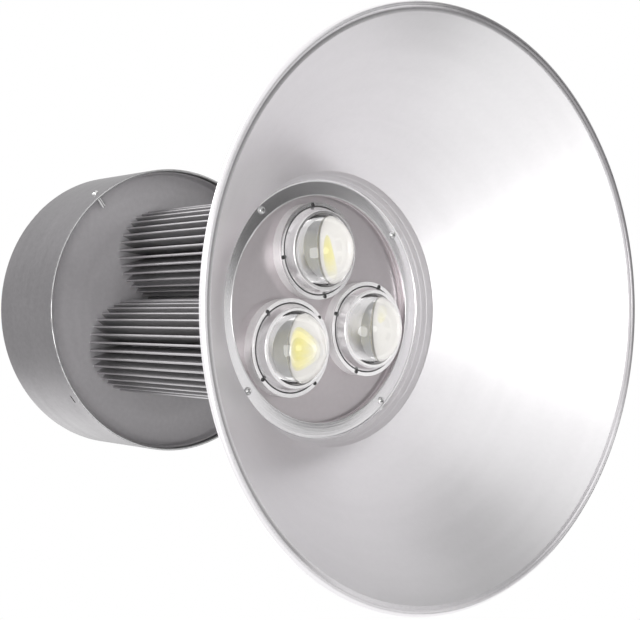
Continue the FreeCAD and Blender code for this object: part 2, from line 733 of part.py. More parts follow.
def driver_screws():
    screw = lifted(flipped(dome_screw(M4, DRIVER_SCREW_L)), DRIVER_Z + EAR_T)
    screws = []
    for x, y in standoff_places():
        one = screw.copy()
        one.translate(FreeCAD.Vector(x, y, 0))
        screws.append(at(one, 0, DRIVER_ANGLE))
    return Part.Compound(screws)


# ---------------------------------------------------------------- eyebolt and gland
def eyebolt():
    collar_z = DRUM_TOP_Z + WASHER_T
    eye_z = collar_z + COLLAR_BOLT_T + EYE_NECK_H + EYE_R
    stem_top = eye_z - EYE_R + EYE_BAR_R * 0.4
    stem = turned([
        (0, DRUM_TOP_Z - SHANK_BELOW), (SHANK_R, DRUM_TOP_Z - SHANK_BELOW, SHANK_EDGE_R), (SHANK_R, collar_z),
        (COLLAR_BOLT_R, collar_z, BOLT_FOOT_EDGE_R),
        (COLLAR_BOLT_R, collar_z + COLLAR_BOLT_T, BOLT_EDGE_R),
        (EYE_BAR_R * 1.6, collar_z + COLLAR_BOLT_T, BOLT_NECK_FILLET_R), (EYE_BAR_R, stem_top), (0, stem_top),
    ])
    eye = Part.makeTorus(EYE_R, EYE_BAR_R, FreeCAD.Vector(0, 0, eye_z), FreeCAD.Vector(0, 1, 0))
    return stem.fuse(eye).removeSplitter()


def eyebolt_washers():
    bore = SHANK_R + SEAT_GAP
    return Part.Compound([ring(WASHER_R, bore, DRUM_TOP_Z, WASHER_T),
                          ring(WASHER_R, bore, CEILING_Z - WASHER_T, WASHER_T)])


def eyebolt_nut():
    z = CEILING_Z - WASHER_T - NUT_H
    return prism(6, NUT_ACROSS, NUT_H, z).cut(cylinder(SHANK_R + THREAD_GAP, 3 * NUT_H, z=z - NUT_H))


def gland_body():
    flange = prism(6, GLAND_ACROSS, GLAND_FLANGE_T, DRUM_TOP_Z, turn=GLAND_ANGLE)
    neck_top = DRUM_TOP_Z + GLAND_FLANGE_T + GLAND_NECK_H
    body = flange.fuse([cylinder(GLAND_NECK_R, GLAND_FLANGE_T + GLAND_NECK_H, z=DRUM_TOP_Z),
                        cylinder(GLAND_THREAD_R, GLAND_BELOW + DRUM_SHEET, z=DRUM_TOP_Z - GLAND_BELOW)])
    pocket_z = DRUM_TOP_Z + GLAND_FLANGE_T
    body = body.cut([cylinder(GLAND_BORE_R, 3 * DRUM_H, z=DRUM_Z),
                     cylinder(SEAL_R + SEAT_GAP, neck_top, z=pocket_z)])
    return at(body, GLAND_PCR, GLAND_ANGLE)


def gland_seal():
    return at(ring(SEAL_R, SEAL_BORE_R, DRUM_TOP_Z + GLAND_FLANGE_T, SEAL_H), GLAND_PCR, GLAND_ANGLE)


def gland_cap():
    z = DRUM_TOP_Z + GLAND_FLANGE_T + SEAT_GAP
    top = z + CAP_H
    seal_top = DRUM_TOP_Z + GLAND_FLANGE_T + SEAL_H
    neck_top = DRUM_TOP_Z + GLAND_FLANGE_T + GLAND_NECK_H
    cap = turned([
        (GLAND_NECK_R + SEAT_GAP, z), (CAP_R, z), (CAP_R, top - CAP_CHAMFER, CAP_SHOULDER_R),
        (CAP_R - CAP_CHAMFER, top, CAP_NOSE_R),
        (CAP_MOUTH_R, top), (CAP_MOUTH_R, seal_top), (SEAL_R + SEAT_GAP, seal_top),
        (SEAL_R + SEAT_GAP, neck_top + SEAT_GAP), (GLAND_NECK_R + SEAT_GAP, neck_top + SEAT_GAP),
    ])
    grip = prism(6, GLAND_ACROSS, CAP_H * CAP_GRIP_SHARE, z, turn=GLAND_ANGLE)
    grip = grip.cut(cylinder(CAP_R - GRIP_ROOT, 2 * CAP_H, z=z - CAP_H / 2))
    return at(cap.fuse(grip), GLAND_PCR, GLAND_ANGLE)


def gland_locknut():
    z = CEILING_Z - LOCKNUT_H
    nut = prism(6, GLAND_ACROSS, LOCKNUT_H, z, turn=GLAND_ANGLE)
    nut = nut.cut(cylinder(GLAND_THREAD_R + THREAD_GAP, 3 * LOCKNUT_H, z=z - LOCKNUT_H))
    return at(nut, GLAND_PCR, GLAND_ANGLE)


# ---------------------------------------------------------------- assembly
def all_parts():
    parts = {
        "reflector": reflector(), "reflector_gasket": reflector_gasket(),
        "reflector_screws": reflector_screws(), "base_plate": base_plate(),
        "led_screws": led_screws(), "lens_screws": lens_screws(),
        "sink_base_screws": sink_base_screws(), "sink_disc_screws": sink_disc_screws(),
        "drum_disc": drum_disc(), "drum_shell": drum_shell(), "drum_screws": drum_screws(),
        "lead_grommets": lead_grommets(), "splice_block": splice_block(),
        "driver_lead": driver_lead(), "driver_case": driver_case(),
        "driver_standoffs": driver_standoffs(), "driver_screws": driver_screws(),
        "eyebolt": eyebolt(), "eyebolt_washers": eyebolt_washers(), "eyebolt_nut": eyebolt_nut(),
        "gland_body": gland_body(), "gland_seal": gland_seal(), "gland_cap": gland_cap(),
        "gland_locknut": gland_locknut(),
    }
    on_lens_circle = {
        "lens_holder": lens_holder(), "lens_bezel": lens_bezel(), "lens": lens_glass(),
        "lens_gasket": lens_gasket(), "lens_cup": lens_cup(), "led_board": led_board(),
        "led_phosphor": led_phosphor(),
    }
    sink = heat_sink()
    lead = led_lead()
    for number, angle in enumerate(angles(LENS_COUNT, LENS_START), start=1):
        for name, shape in on_lens_circle.items():
            parts["%s_%d" % (name, number)] = at(shape, LENS_PCR, angle)
        parts["heat_sink_%d" % number] = at(sink, SINK_PCR, angle)
        parts["lead_%d" % number] = at(lead, 0, angle)
    return parts


def main():
    os.makedirs("parts", exist_ok=True)
    for node, shape in all_parts().items():
        shape.exportStep("parts/%s.step" % node)
        print("%-20s solids %2d  volume %.1f cm3" % (node, len(shape.Solids), shape.Volume / 1000))


main()
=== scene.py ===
# %% [markdown]
# # A high bay light, finished for rendering
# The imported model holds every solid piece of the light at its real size. This script keeps
# those solids as a fixed frame, gives each one the surface that its maker gave it, and models
# the small forms that catch the light: the rolled rim, screw heads, chips under the phosphor.
# Units are metres, and the light's axis is Z: the mouth of the reflector is at Z = 0.

# %% Load the frame
import math
import bpy
import bmesh
from mathutils import Matrix, Vector


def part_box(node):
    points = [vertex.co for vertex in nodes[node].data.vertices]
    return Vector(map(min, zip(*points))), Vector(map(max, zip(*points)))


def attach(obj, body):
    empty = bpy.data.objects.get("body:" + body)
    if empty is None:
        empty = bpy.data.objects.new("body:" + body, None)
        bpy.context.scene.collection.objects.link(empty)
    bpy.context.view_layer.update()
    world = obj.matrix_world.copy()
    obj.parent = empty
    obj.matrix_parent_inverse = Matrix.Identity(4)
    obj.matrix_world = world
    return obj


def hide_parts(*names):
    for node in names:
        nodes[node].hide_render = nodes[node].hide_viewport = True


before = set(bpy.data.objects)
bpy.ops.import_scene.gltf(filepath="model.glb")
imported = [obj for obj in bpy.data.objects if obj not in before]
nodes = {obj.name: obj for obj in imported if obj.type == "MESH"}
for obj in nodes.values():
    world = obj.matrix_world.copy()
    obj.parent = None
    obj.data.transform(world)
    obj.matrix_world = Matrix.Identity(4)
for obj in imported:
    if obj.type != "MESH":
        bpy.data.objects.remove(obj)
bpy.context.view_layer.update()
print("solid nodes:", len(nodes))

# %% [markdown]
# ## Measures
# Everything added later has to land on the solids, so its places are read from them.
# A node's box gives its radius and its two ends along the axis.


# %% Read sizes from the frame
def ends(name):
    """Lowest and highest Z of a solid."""
    low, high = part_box(name)
    return low.z, high.z


def middle(name):
    """Centre of a solid's box."""
    low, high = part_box(name)
    return (low + high) / 2


def radius_of(name):
    """Half of a round solid's width."""
    low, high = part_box(name)
    return (high.x - low.x) / 2


MM = 0.001
LENS_NUMBERS = (1, 2, 3)
rim_radius = radius_of("reflector")
flange_back = ends("reflector")[1]
drum_radius = radius_of("drum_shell")
drum_mouth = ends("drum_shell")[0]
lens_centres = [middle("lens_%d" % n) for n in LENS_NUMBERS]
lens_circle = lens_centres[0].xy.length
first_lens_angle = math.atan2(lens_centres[0].y, lens_centres[0].x)
print("rim radius %.4f m, drum radius %.4f m" % (rim_radius, drum_radius))
print("lenses on a circle of %.4f m, the first at %.1f degrees"
      % (lens_circle, math.degrees(first_lens_angle)))

# %% [markdown]
# ## Where the viewer stands
# The light hangs high up and is looked at from below and to one side, about 40 degrees off
# its axis, with a short telephoto lens. The camera is turned so that its own "up" is the
# light's +Y: the light then seems to lie on its side, with its lenses towards us.

# %% Camera
CAMERA_SPOT = Vector((0.6234, -0.0033, -0.5937))
AIM_SPOT = Vector((0.0, -0.0006, 0.1420))
FOCAL_LENGTH = 69.95


def turn_towards(spot, aim, up=Vector((0, 1, 0.001))):
    """Rotation of a camera or lamp at spot that looks at aim, with up upright in its picture."""
    back = (spot - aim).normalized()
    right = up.cross(back).normalized()
    above = back.cross(right)
    return Matrix((right, above, back)).transposed().to_4x4()


camera_data = bpy.data.cameras.new("viewer")
camera_data.lens = FOCAL_LENGTH
camera_data.sensor_width = 36.0
camera_data.clip_start = 0.01
camera = bpy.data.objects.new("viewer", camera_data)
upright = turn_towards(CAMERA_SPOT, AIM_SPOT, Vector((0, 1, 0)))
camera.matrix_world = Matrix.Translation(CAMERA_SPOT) @ upright
bpy.context.scene.collection.objects.link(camera)
bpy.context.scene.camera = camera
print("camera %.2f m from the lens plate" % (CAMERA_SPOT - AIM_SPOT).length)

# %% [markdown]
# ## A white room
# Bare metal shows its surroundings more than its own colour. The room is plain white to the
# eye and to every reflection, and a little dimmer as a source of diffuse light, so that
# pale surfaces keep their shading. Light Path tells the world which kind of ray is asking.


# %% Shader helpers and the world
def join(tree, output, target):
    tree.links.new(output, target)


def maths(tree, operation, a, b=None, clamp=False):
    """A Math node. Each operand is a number or another node's output."""
    made = tree.nodes.new("ShaderNodeMath")
    made.operation = operation
    made.use_clamp = clamp
    for place, value in enumerate((a, b)):
        if value is None:
            continue
        if isinstance(value, (int, float)):
            made.inputs[place].default_value = value
        else:
            join(tree, value, made.inputs[place])
    return made.outputs[0]


ROOM_DIFFUSE = 0.62
ROOM_SEEN = 1.0


def white_room():
    world = bpy.data.worlds.new("white_room")
    world.use_nodes = True
    tree = world.node_tree
    tree.nodes.clear()
    path = tree.nodes.new("ShaderNodeLightPath")
    seen = maths(tree, "ADD", path.outputs["Is Camera Ray"], path.outputs["Is Glossy Ray"])
    seen = maths(tree, "ADD", seen, path.outputs["Is Transmission Ray"], clamp=True)
    extra = maths(tree, "MULTIPLY", seen, ROOM_SEEN - ROOM_DIFFUSE)
    strength = maths(tree, "ADD", extra, ROOM_DIFFUSE)
    background = tree.nodes.new("ShaderNodeBackground")
    background.inputs["Color"].default_value = (1, 1, 1, 1)
    join(tree, strength, background.inputs["Strength"])
    output = tree.nodes.new("ShaderNodeOutputWorld")
    join(tree, background.outputs[0], output.inputs["Surface"])
    bpy.context.scene.world = world
    return world


white_room()
bpy.context.scene.view_settings.view_transform = "Standard"
print("room seen at %.2f, lighting at %.2f" % (ROOM_SEEN, ROOM_DIFFUSE))

# %% [markdown]
# ## Lamps, flags and floor
# Soft lamps do what a product photographer does: one big sheet of light beside the camera,
# which the far wall of the dish throws straight back, one over the drum, and one low for
# its lower side. A flag is a dark card that the camera never sees: bare metal needs
# something dark to mirror, or it looks like paint. Some flags also shade the drum, and one
# is there for the glasses alone. The floor lies well below, where the light's own shadow
# falls on it; reflections see only its near part, and the white room beyond it.

# %% Lamps, flags and floor
FLOOR_Z = -1.5
FLOOR_HALF = 12.0
NEAR_FLOOR_HALF = 1.0
FLOOR_GLOW = 0.42            # what the room's light leaves the floor short of white
PAPER = (0.9, 0.9, 0.9)


def soft_lamp(name, spot, aim, size, power):
    """A round soft lamp, with its width in metres and its power in watts."""
    lamp = bpy.data.lights.new(name, "AREA")
    lamp.shape = "DISK"
    lamp.size = size
    lamp.energy = power
    made = bpy.data.objects.new(name, lamp)
    made.matrix_world = Matrix.Translation(spot) @ turn_towards(spot, aim)
    bpy.context.scene.collection.objects.link(made)
    return made


def stage_card(name, corners, colour):
    """A matt card with four corners, for the stage and not part of the light."""
    mesh = bpy.data.meshes.new(name)
    mesh.from_pydata(corners, [], [(0, 1, 2, 3)])
    card = bpy.data.objects.new(name, mesh)
    bpy.context.scene.collection.objects.link(card)
    material = bpy.data.materials.new(name + "_paper")
    material.use_nodes = True
    shader = material.node_tree.nodes["Principled BSDF"]
    shader.inputs["Base Color"].default_value = (*colour, 1)
    shader.inputs["Roughness"].default_value = 0.9
    mesh.materials.append(material)
    return card


def whiten(material, extra):
    """Makes a lit white paper white to the eye, and through glass, and keeps its shadows."""
    tree = material.node_tree
    path = tree.nodes.new("ShaderNodeLightPath")
    seen = maths(tree, "ADD", path.outputs["Is Camera Ray"], path.outputs["Is Transmission Ray"],
                 clamp=True)
    shader = tree.nodes["Principled BSDF"]
    shader.inputs["Emission Color"].default_value = (1, 1, 1, 1)
    join(tree, maths(tree, "MULTIPLY", seen, extra), shader.inputs["Emission Strength"])


def flag(name, spot, width, height, shade=0.02, kinds=("glossy",), aim=Vector((0, 0, 0.14))):
    """A card that the camera doesn't see: only the named kinds of ray do."""
    turn = turn_towards(spot, aim)
    w, h = width / 2, height / 2
    corners = [spot + turn @ Vector(c) for c in ((-w, -h, 0), (w, -h, 0), (w, h, 0), (-w, h, 0))]
    card = stage_card(name, corners, (shade, shade, shade))
    card.visible_camera = False
    for kind in ("diffuse", "glossy", "transmission", "shadow"):
        setattr(card, "visible_" + kind, kind in kinds)
    return card


soft_lamp("beside_camera", Vector((1.30, -0.25, -1.25)), AIM_SPOT, 1.1, 12.5)
soft_lamp("into_lenses", Vector((0.25, 0.0, -1.4)), AIM_SPOT, 0.5, 1.5)
soft_lamp("over_drum", Vector((1.1, 0.95, 0.9)), Vector((0, 0, 0.3)), 0.8, 15.0)
soft_lamp("under_drum", Vector((-0.1, -1.1, 2.0)), Vector((0, 0, 0.39)), 1.2, 4.5)
flag("upper_flag", Vector((-0.385, 0.18, -0.45)), 0.29, 0.31)
flag("lower_flag", Vector((-0.52, -0.26, -0.45)), 0.25, 0.26, shade=0.1)
flag("top_flag", Vector((-0.40, 0.70, -0.32)), 0.6, 0.6, shade=0.3)
flag("glass_flag", Vector((-0.55, 0.0, -0.5)), 1.5, 1.5, shade=0.38, kinds=("transmission",))
flag("drum_flag", Vector((-0.40, -0.08, 0.28)), 0.75, 0.5, kinds=("diffuse", "glossy", "shadow"),
     aim=Vector((0, -0.08, 0.28)))
flag("low_drum_flag", Vector((-0.15, -0.34, 0.22)), 0.6, 0.34, kinds=("diffuse", "shadow"),
     aim=Vector((0, 0, 0.36)))


def square(half, z):
    """Corners of a level square round the axis."""
    return [(-half, -half, z), (half, -half, z), (half, half, z), (-half, half, z)]


floor = stage_card("floor", square(FLOOR_HALF, FLOOR_Z), PAPER)
floor.visible_glossy = False
whiten(floor.data.materials[0], FLOOR_GLOW)
near_floor = stage_card("near_floor", square(NEAR_FLOOR_HALF, FLOOR_Z + MM), PAPER)
near_floor.visible_camera = near_floor.visible_diffuse = near_floor.visible_shadow = False
near_floor.visible_transmission = False
print("floor %.1f m below the mouth" % -FLOOR_Z)

# %% [markdown]
# ## Surface effects shared by several metals
# A spun or turned piece carries fine rings round its axis. A group makes them once: it
# measures how far a point lies from the axis and along it, stretches noise round the
# circle, and gives back a height for the Bump node and a mask for roughness.


# %% Group: turning rings
def new_group(name, inputs, outputs):
    """A shader group with inputs (name, default) and float outputs. Point is a vector."""
    group = bpy.data.node_groups.new(name, "ShaderNodeTree")
    for label, value in inputs:
        kind = "NodeSocketVector" if label == "Point" else "NodeSocketFloat"
        socket = group.interface.new_socket(label, in_out="INPUT", socket_type=kind)
        if kind == "NodeSocketFloat":
            socket.default_value = value
    for label in outputs:
        group.interface.new_socket(label, in_out="OUTPUT", socket_type="NodeSocketFloat")
    enter = group.nodes.new("NodeGroupInput")
    leave = group.nodes.new("NodeGroupOutput")
    return group, enter.outputs, leave.inputs


def noise(tree, vector, w=None, scale=1.0, detail=2.0, roughness=0.5):
    """A Noise Texture's value, in four dimensions where w is given."""
    made = tree.nodes.new("ShaderNodeTexNoise")
    made.noise_dimensions = "3D" if w is None else "4D"
    join(tree, vector, made.inputs["Vector"])
    if w is not None:
        join(tree, w, made.inputs["W"])
    if isinstance(scale, (int, float)):
        made.inputs["Scale"].default_value = scale
    else:
        join(tree, scale, made.inputs["Scale"])
    made.inputs["Detail"].default_value = detail
    made.inputs["Roughness"].default_value = roughness
    return made.outputs["Fac"]


def turning_rings_group():
    group, given, result = new_group(
        "turning_rings", [("Point", None), ("Rings per metre", 1500.0), ("Wander", 1.2)],
        ["Height", "Mask"])
    split = group.nodes.new("ShaderNodeSeparateXYZ")
    join(group, given["Point"], split.inputs[0])
    x, y, z = split.outputs
    square = maths(group, "ADD", maths(group, "MULTIPLY", x, x), maths(group, "MULTIPLY", y, y))
    radius = maths(group, "SQRT", maths(group, "ADD", square, 1e-9))
    merge = group.nodes.new("ShaderNodeCombineXYZ")
    join(group, maths(group, "MULTIPLY", radius, given["Rings per metre"]), merge.inputs[0])
    join(group, maths(group, "MULTIPLY", z, given["Rings per metre"]), merge.inputs[1])
    join(group, maths(group, "MULTIPLY", maths(group, "DIVIDE", x, radius), given["Wander"]),
         merge.inputs[2])
    around = maths(group, "MULTIPLY", maths(group, "DIVIDE", y, radius), given["Wander"])
    rings = noise(group, merge.outputs[0], around, detail=3.0, roughness=0.6)
    join(group, rings, result["Height"])
    broad = group.nodes.new("ShaderNodeVectorMath")
    broad.operation = "SCALE"
    broad.inputs["Scale"].default_value = 0.06
    join(group, merge.outputs[0], broad.inputs[0])
    join(group, noise(group, broad.outputs[0], around, detail=2.0), result["Mask"])
    return group


turning_rings = turning_rings_group()
print("group", turning_rings.name)

# %% [markdown]
# Handled aluminium is never quite even: oxide, cleaning and fingers leave soft clouds. The
# second group gives those clouds, a mottle a few millimetres wide, and a fine grain.


# %% Group: clouds, mottle and grain
def clouds_group():
    group, given, result = new_group(
        "clouds_and_grain", [("Point", None), ("Cloud size", 18.0), ("Grain size", 2500.0)],
        ["Clouds", "Mottle", "Grain"])
    join(group, noise(group, given["Point"], scale=given["Cloud size"], detail=4.0),
         result["Clouds"])
    fine = maths(group, "MULTIPLY", given["Cloud size"], 14.0)
    join(group, noise(group, given["Point"], scale=fine, detail=3.0, roughness=0.6),
         result["Mottle"])
    join(group, noise(group, given["Point"], scale=given["Grain size"], detail=2.0),
         result["Grain"])
    return group


clouds_and_grain = clouds_group()
print("group", clouds_and_grain.name)


# %% [markdown]
# Every finish is built from the same few parts: a point counted from the piece's own axis,
# the groups above, and two shades that they blend. A function for each family of finishes
# keeps that wiring in one place.

# %% Material workshop
def spread(tree, value, low, high, start=0.3, stop=0.7):
    """Maps the middle of a noise value, or any other stretch, onto a range."""
    made = tree.nodes.new("ShaderNodeMapRange")
    made.inputs["To Min"].default_value = low
    made.inputs["To Max"].default_value = high
    made.inputs["From Min"].default_value = start
    made.inputs["From Max"].default_value = stop
    join(tree, value, made.inputs["Value"])
    return made.outputs["Result"]


def blend_colours(tree, amount, first, second):
    """A colour between two, each a tuple or another node's output."""
    mix = tree.nodes.new("ShaderNodeMix")
    mix.data_type = "RGBA"
    for name, value in (("A", first), ("B", second)):
        if isinstance(value, tuple):
            mix.inputs[name].default_value = (*value, 1)
        else:
            join(tree, value, mix.inputs[name])
    join(tree, amount, mix.inputs["Factor"])
    return mix.outputs["Result"]


def centred_point(tree, centre):
    """Object coordinates counted from a point, so that rings turn about its axis."""
    where = tree.nodes.new("ShaderNodeTexCoord")
    moved = tree.nodes.new("ShaderNodeMapping")
    moved.inputs["Location"].default_value = (-centre[0], -centre[1], -centre[2])
    join(tree, where.outputs["Object"], moved.inputs["Vector"])
    return moved.outputs["Vector"]


def use_group(tree, group, point, **inputs):
    made = tree.nodes.new("ShaderNodeGroup")
    made.node_tree = group
    join(tree, point, made.inputs["Point"])
    for name, value in inputs.items():
        made.inputs[name.replace("_", " ")].default_value = value
    return made.outputs


def blank_material(name):
    material = bpy.data.materials.new(name)
    material.use_nodes = True
    return material, material.node_tree, material.node_tree.nodes["Principled BSDF"]


def bumped(tree, shader, height, strength, distance=0.0001):
    bump = tree.nodes.new("ShaderNodeBump")
    bump.inputs["Strength"].default_value = strength
    bump.inputs["Distance"].default_value = distance
    join(tree, height, bump.inputs["Height"])
    join(tree, bump.outputs["Normal"], shader.inputs["Normal"])


def shades(tree, shader, masks, dark, light):
    """Base colour between two shades, by the mean of some masks."""
    total = masks[0]
    for mask in masks[1:]:
        total = maths(tree, "ADD", total, mask)
    mean = maths(tree, "DIVIDE", total, float(len(masks)))
    colour = blend_colours(tree, spread(tree, mean, 0, 1), dark, light)
    join(tree, colour, shader.inputs["Base Color"])
    return colour


def turned_metal(name, dark, light, rough, centre=(0, 0, 0), rings=1500.0, depth=0.3,
                 stretch=0.6, cloud_size=18.0, bare=1.0, pressed=(), behind=None):
    """Spun or turned metal: rings round an axis, clouds in colour and roughness.

    Pressed lists bands of height, as (bottom, top, share): each scales the roughness there.
    Behind is the colour of faces that look up: the unpolished side of a sheet.
    """
    material, tree, shader = blank_material(name)
    point = centred_point(tree, centre)
    turning = use_group(tree, turning_rings, point, Rings_per_metre=rings)
    clouds = use_group(tree, clouds_and_grain, point, Cloud_size=cloud_size)
    masks = (clouds["Clouds"], clouds["Mottle"], turning["Mask"])
    colour = shades(tree, shader, masks, dark, light)
    if behind is not None:
        facing = tree.nodes.new("ShaderNodeSeparateXYZ")
        join(tree, tree.nodes.new("ShaderNodeNewGeometry").outputs["Normal"], facing.inputs[0])
        upward = spread(tree, facing.outputs["Z"], 0, 1, 0.1, 0.3)
        join(tree, blend_colours(tree, upward, colour, behind), shader.inputs["Base Color"])
    roughness = spread(tree, turning["Mask"], rough[0], rough[1])
    if pressed:
        split = tree.nodes.new("ShaderNodeSeparateXYZ")
        join(tree, point, split.inputs[0])
    for bottom, top, share in pressed:
        into = spread(tree, split.outputs["Z"], 0.0, 1.0, bottom - MM, bottom)
        out_of = spread(tree, split.outputs["Z"], 1.0, 0.0, top, top + MM)
        change = maths(tree, "MULTIPLY", maths(tree, "MULTIPLY", into, out_of), share - 1.0)
        roughness = maths(tree, "MULTIPLY", roughness, maths(tree, "ADD", change, 1.0))
    join(tree, roughness, shader.inputs["Roughness"])
    shader.inputs["Metallic"].default_value = bare
    shader.inputs["Anisotropic"].default_value = stretch
    tangent = tree.nodes.new("ShaderNodeTangent")
    tangent.direction_type = "RADIAL"
    tangent.axis = "Z"
    join(tree, tangent.outputs[0], shader.inputs["Tangent"])
    bumped(tree, shader, turning["Height"], depth)
    return material


def plain_metal(name, dark, light, rough, grain_depth=0.1, bare=1.0, cloud_size=18.0):
    """Cast, blasted or plated metal, with clouds and grain but no direction."""
    material, tree, shader = blank_material(name)
    clouds = use_group(tree, clouds_and_grain, centred_point(tree, (0, 0, 0)),
                       Cloud_size=cloud_size)
    shades(tree, shader, (clouds["Clouds"], clouds["Mottle"]), dark, light)
    join(tree, spread(tree, clouds["Grain"], rough[0], rough[1]), shader.inputs["Roughness"])
    shader.inputs["Metallic"].default_value = bare
    bumped(tree, shader, clouds["Grain"], grain_depth)
    return material


def soft_stuff(name, dark, light, rough):
    """Rubber, nylon, sleeve or solder mask: a dielectric with clouds and grain."""
    material, tree, shader = blank_material(name)
    clouds = use_group(tree, clouds_and_grain, centred_point(tree, (0, 0, 0)), Cloud_size=40.0)
    shades(tree, shader, (clouds["Clouds"], clouds["Mottle"]), dark, light)
    join(tree, spread(tree, clouds["Grain"], rough[0], rough[1]), shader.inputs["Roughness"])
    bumped(tree, shader, clouds["Grain"], 0.1)
    return material


def dress(material, *names):
    """Gives CAD nodes a finish in place of the plain one they came with."""
    for name in names:
        nodes[name].data.materials.clear()
        nodes[name].data.materials.append(material)


print("workshop ready")

# %% [markdown]
# ## Metals
# The dish is spun aluminium, satin from the rollers. The drum is plain rolled sheet and
# greyer, the lens plate is turned and stained a little warm, and the rings round the glasses
# are pale anodised aluminium that scatters as much as it mirrors.

# %% Metals
FLANGE_BAND = (flange_back - 2.5 * MM, flange_back, 0.45)
STEP_BAND = (flange_back - 14.0 * MM, flange_back - 4.0 * MM, 1.6)
PRESSED = (FLANGE_BAND, STEP_BAND)
spun = turned_metal("spun_dish", (0.82, 0.808, 0.82), (0.87, 0.857, 0.87), (0.34, 0.38),
                    stretch=0.65, depth=0.25, pressed=PRESSED, behind=(0.40, 0.39, 0.40), bare=0.92)
drum_metal = turned_metal("drum_sheet", (0.16, 0.154, 0.16), (0.23, 0.222, 0.23), (0.38, 0.46),
                          stretch=0.4, depth=0.2)
disc_metal = turned_metal("disc_sheet", (0.50, 0.485, 0.50), (0.62, 0.605, 0.62), (0.48, 0.56),
                          stretch=0.3, depth=0.2, bare=0.4)
plate_metal = turned_metal("lens_plate", (0.57, 0.53, 0.545), (0.63, 0.59, 0.605), (0.34, 0.40),
                           stretch=0.35, depth=0.15, bare=0.85)
extruded = plain_metal("extruded_fins", (0.44, 0.43, 0.44), (0.52, 0.51, 0.52), (0.42, 0.52),
                       bare=0.85)
plated = plain_metal("plated_steel", (0.62, 0.62, 0.62), (0.74, 0.74, 0.74), (0.12, 0.22),
                     grain_depth=0.05)
chromed = plain_metal("chromed_heads", (0.50, 0.50, 0.50), (0.62, 0.62, 0.62), (0.06, 0.12),
                      grain_depth=0.03)
blackened = plain_metal("blackened_steel", (0.05, 0.05, 0.05), (0.10, 0.10, 0.10), (0.3, 0.4))
ring_metal = plain_metal("anodised_rings", (0.90, 0.885, 0.89), (0.95, 0.935, 0.94), (0.14, 0.20),
                         bare=0.8)
holder_metal = plain_metal("satin_holders", (0.95, 0.94, 0.94), (0.98, 0.97, 0.97), (0.20, 0.28),
                           bare=0.3)
# paler than the drum's sheet it is folded from: a painted highlight on the drum's lip
lip_metal = plain_metal("drum_lip_painted_highlight", (0.62, 0.62, 0.62), (0.72, 0.72, 0.72), (0.25, 0.35),
                        bare=0.7)
silvered = plain_metal("silvered_sleeve", (0.54, 0.52, 0.49), (0.60, 0.58, 0.55), (0.14, 0.22),
                       grain_depth=0.05)

dress(drum_metal, "drum_shell", "driver_case")
dress(disc_metal, "drum_disc")
dress(plate_metal, "base_plate")
dress(extruded, *["heat_sink_%d" % n for n in LENS_NUMBERS])
dress(plated, "sink_base_screws", "sink_disc_screws", "driver_standoffs", "driver_screws",
      "eyebolt", "eyebolt_washers", "eyebolt_nut")
for number in LENS_NUMBERS:
    dress(holder_metal, "lens_holder_%d" % number)
    dress(ring_metal, "lens_bezel_%d" % number)
    dress(silvered, "lens_cup_%d" % number)
print("metals:", len(bpy.data.materials))

# %% [markdown]
# ## Glass, phosphor, rubber and plastic
# Each glass is a high dome with a flat back. Seen from the side, the near part of its back
# mirrors the room like a prism, and the rest shows the light source far off its centre.


# %% Glass and soft stuffs
GLASS_INDEX = 1.58


def lens_glass():
    material, tree, shader = blank_material("lens_glass")
    shader.inputs["Base Color"].default_value = (0.998, 0.994, 0.988, 1)
    shader.inputs["Metallic"].default_value = 0.0
    shader.inputs["Transmission Weight"].default_value = 1.0
    shader.inputs["IOR"].default_value = GLASS_INDEX
    clouds = use_group(tree, clouds_and_grain, centred_point(tree, (0, 0, 0)), Cloud_size=60.0)
    join(tree, spread(tree, clouds["Clouds"], 0.0, 0.02), shader.inputs["Roughness"])
    return material


glass = lens_glass()
solder_mask = soft_stuff("white_solder_mask", (0.97, 0.955, 0.935), (0.985, 0.97, 0.95), (0.3, 0.4))
silicone = soft_stuff("grey_silicone", (0.30, 0.30, 0.29), (0.36, 0.36, 0.35), (0.4, 0.5))
rubber = soft_stuff("black_rubber", (0.02, 0.02, 0.02), (0.035, 0.035, 0.035), (0.5, 0.6))
nylon = soft_stuff("black_nylon", (0.025, 0.025, 0.026), (0.04, 0.04, 0.041), (0.3, 0.45))
sleeve = soft_stuff("white_sleeve", (0.62, 0.62, 0.60), (0.70, 0.70, 0.68), (0.45, 0.55))


def phosphor_coat(name, centre, middle_colour, edge_colour):
    """Phosphor in silicone: deep yellow in the middle, paler towards the dam round it."""
    material, tree, shader = blank_material(name)
    point = centred_point(tree, centre)
    clouds = use_group(tree, clouds_and_grain, point, Cloud_size=60.0)
    distance = tree.nodes.new("ShaderNodeVectorMath")
    distance.operation = "LENGTH"
    join(tree, point, distance.inputs[0])
    uneven = maths(tree, "MULTIPLY", maths(tree, "SUBTRACT", clouds["Mottle"], 0.5), 2.0 * MM)
    reach = maths(tree, "ADD", distance.outputs["Value"], uneven)
    paler = spread(tree, reach, 0, 1, 12.0 * MM, 17.0 * MM)
    join(tree, blend_colours(tree, paler, middle_colour, edge_colour), shader.inputs["Base Color"])
    join(tree, spread(tree, clouds["Grain"], 0.3, 0.5), shader.inputs["Roughness"])
    bumped(tree, shader, clouds["Grain"], 0.1)
    return material


